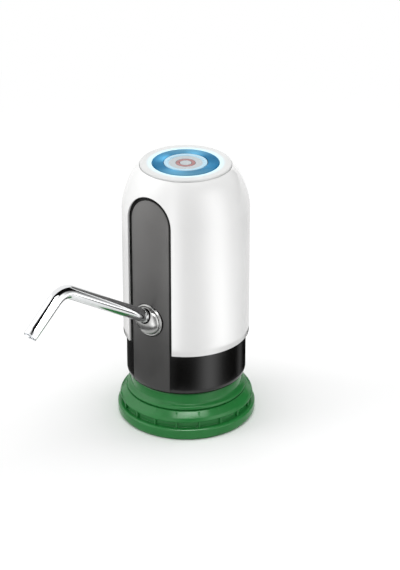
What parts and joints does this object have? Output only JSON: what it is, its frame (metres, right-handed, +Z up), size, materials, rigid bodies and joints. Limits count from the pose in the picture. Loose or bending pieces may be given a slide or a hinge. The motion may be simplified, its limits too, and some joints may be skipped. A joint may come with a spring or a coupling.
{
  "type": "electric water jug pump",
  "caption": "Domed electric pump for a large water jug, with a bent steel spout, a lit push button on top and a ribbed screw-on neck adapter.",
  "frame": {"origin": "on the pump's upright axis, in the plane of the neck nut's lower edge", "axes": "+Z up along the pump's axis, -Y the front that the spout points to, +X to the right of someone who looks from the spout's side along +Y"},
  "size_m": [0.0844, 0.1829, 0.164],
  "materials": {
    "neck_green": "moulded, slightly glossy",
    "white_shell": "high gloss",
    "black_housing": "gloss",
    "grey_panel": "satin",
    "grey_plastic": "satin",
    "blue_light": "translucent, evenly lit",
    "icon_red": "inlaid ring",
    "polished_steel": "polished",
    "satin_metal": "satin",
    "escutcheon_metal": "satin, spun",
    "silicone": "translucent white",
    "dark_rubber": "matte",
    "frame_grey": "matte",
    "pump_black": "matte",
    "board_green": "solder mask",
    "battery_wrap": "plastic wrap",
    "copper": "bright",
    "ferrite": "matte",
    "lead_red": "insulated wire",
    "lead_black": "insulated wire"
  },
  "bodies": {
    "neck_nut": {"neck_nut": "neck_green"},
    "neck_spigot": {"neck_spigot": "neck_green", "neck_gasket": "dark_rubber"},
    "pump_housing": {"lower_housing": "black_housing", "front_panel": "grey_panel", "neck_sleeve": "silicone", "outer_shell": "white_shell", "top_bezel": "grey_plastic", "light_ring": "blue_light", "outlet_escutcheon": "escutcheon_metal", "outlet_socket": "frame_grey", "inlet_fitting": "frame_grey", "inlet_nut": "frame_grey", "inlet_tube": "silicone", "outlet_tube": "silicone", "inner_frame": "frame_grey", "deck_screw_1": "satin_metal", "deck_screw_2": "satin_metal", "deck_screw_3": "satin_metal", "battery_cell": "battery_wrap", "charge_board": "board_green", "usb_socket": "satin_metal", "motor_lead_red": "lead_red", "motor_lead_black": "lead_black", "battery_lead_red": "lead_red", "battery_lead_black": "lead_black", "charge_lead_red": "lead_red", "charge_lead_black": "lead_black", "tact_switch": "dark_rubber", "control_board": "board_green", "status_lamp_1": "grey_plastic", "status_lamp_2": "grey_plastic", "status_lamp_3": "grey_plastic", "status_lamp_4": "grey_plastic", "pump_cover": "pump_black", "valve_plate": "frame_grey", "inlet_valve": "dark_rubber", "outlet_valve": "dark_rubber", "diaphragm": "dark_rubber", "pump_case": "pump_black", "pump_screw_1": "satin_metal", "pump_screw_2": "satin_metal", "pump_screw_3": "satin_metal", "motor_can": "satin_metal", "motor_cap": "pump_black", "motor_magnet": "ferrite"},
    "button": {"button_cap": "grey_plastic", "button_icon": "icon_red", "switch_plunger": "dark_rubber"},
    "rotor": {"motor_shaft": "polished_steel", "armature": "ferrite", "commutator": "copper", "eccentric_hub": "frame_grey"},
    "wobble": {"wobble_plate": "grey_plastic", "wobble_pin": "polished_steel"},
    "spout_ferrule": {"spout_ferrule": "grey_plastic", "ferrule_seal": "dark_rubber", "spout_seal": "dark_rubber"},
    "spout": {"spout_tube": "polished_steel"},
    "port_cover": {"port_cover": "dark_rubber"}
  },
  "joints": [
    {"name": "pump_swivel", "type": "hinge", "parent": "neck_nut", "child": "neck_spigot", "pos_m": [0, 0, 0.017], "axis": [0, 0, 1], "continuous": true},
    {"name": "pump_lift", "type": "slide", "parent": "neck_spigot", "child": "pump_housing", "axis": [0, 0, 1], "range_m": [0, 0.025]},
    {"name": "button_press", "type": "slide", "parent": "pump_housing", "child": "button", "axis": [0, 0, -1], "range_m": [0, 0.0009], "stiffness_N_per_m": 800, "springref_m": -0.0005},
    {"name": "motor_spin", "type": "hinge", "parent": "pump_housing", "child": "rotor", "pos_m": [-0.014, 0.003, 0.1062], "axis": [0, 0, 1], "continuous": true},
    {"name": "wobble_turn", "type": "hinge", "parent": "rotor", "child": "wobble", "pos_m": [-0.014, 0.003, 0.0892], "axis": [0.0872, 0, 0.9962], "continuous": true},
    {"name": "spout_swivel", "type": "hinge", "parent": "pump_housing", "child": "spout_ferrule", "pos_m": [0, -0.033, 0.0742], "axis": [0, -0.8443, 0.5358], "continuous": true},
    {"name": "spout_pull", "type": "slide", "parent": "spout_ferrule", "child": "spout", "axis": [0, -0.8443, 0.5358], "range_m": [0, 0.014]},
    {"name": "port_cover_open", "type": "hinge", "parent": "pump_housing", "child": "port_cover", "pos_m": [0, 0.0381, 0.0714], "axis": [1, 0, 0], "range_deg": [0, 110]}
  ],
  "couplings": [
    {"joint": "wobble_turn", "follows": "motor_spin", "ratio": -1}
  ]
}
